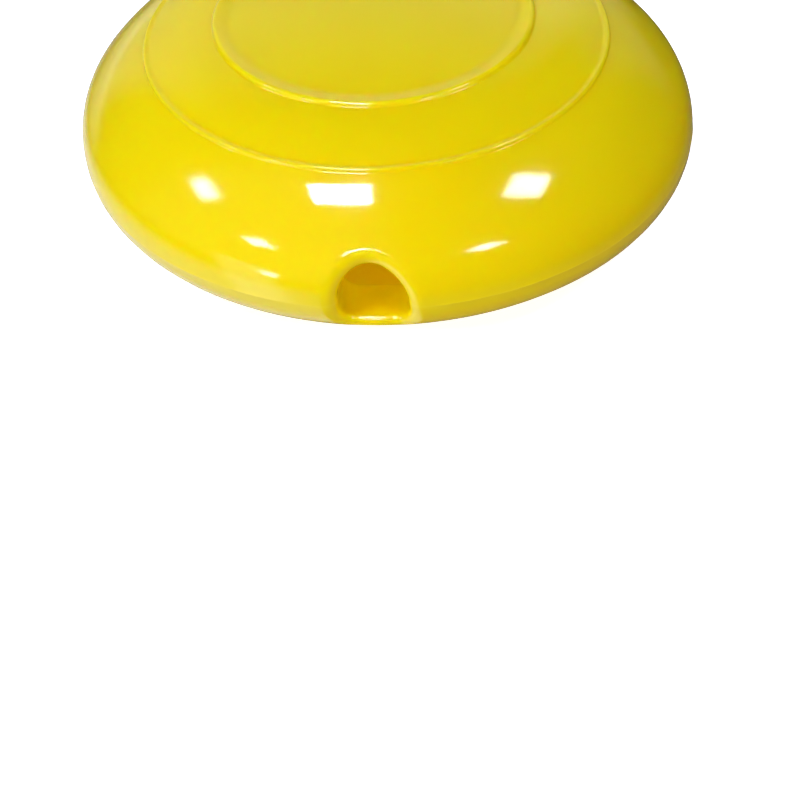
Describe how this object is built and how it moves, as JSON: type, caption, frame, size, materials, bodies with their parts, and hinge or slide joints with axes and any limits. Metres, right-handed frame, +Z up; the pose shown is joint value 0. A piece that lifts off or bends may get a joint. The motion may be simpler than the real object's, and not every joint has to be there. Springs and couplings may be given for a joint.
{
  "type": "squeaky foraging disc",
  "caption": "Glossy yellow soft vinyl disc with a low ringed dome, an arched treat mouth in its rim and a press squeaker inside.",
  "frame": {"origin": "centre of the base, on the surface the disc stands on", "axes": "+Z up along the disc's axis, the treat mouth faces -Y, +X to the right seen from the mouth's side"},
  "size_m": [0.16, 0.1591, 0.05],
  "materials": {
    "yellow_vinyl": "glossy soft vinyl",
    "well_plastic": "natural moulded plastic",
    "base_plastic": "white moulded plastic",
    "bellows_plastic": "milky flexible plastic",
    "clamp_plastic": "moulded plastic",
    "cap_plastic": "moulded plastic",
    "housing_plastic": "moulded plastic",
    "reed_film": "clear film"
  },
  "bodies": {
    "root": {"upper_shell": "yellow_vinyl", "lower_shell": "yellow_vinyl", "squeaker_well": "well_plastic", "squeaker_base": "base_plastic", "squeaker_bellows": "bellows_plastic", "bellows_clamp_ring": "clamp_plastic", "reed_housing_lower": "housing_plastic", "reed_housing_upper": "housing_plastic", "squeaker_grille": "base_plastic"},
    "press_cap": {"bellows_cap": "cap_plastic"},
    "reed_strip": {"reed": "reed_film"}
  },
  "joints": [
    {"name": "dome_press", "type": "slide", "parent": "root", "child": "press_cap", "axis": [0, 0, 1], "range_m": [-0.008, 0], "stiffness_N_per_m": 600, "deforming": ["squeaker_bellows"]},
    {"name": "reed_flutter", "type": "hinge", "parent": "root", "child": "reed_strip", "pos_m": [-0.0034, 0, 0.0066], "axis": [0, 1, 0], "range_deg": [-3, 3], "stiffness_Nm_per_rad": 0.001}
  ]
}
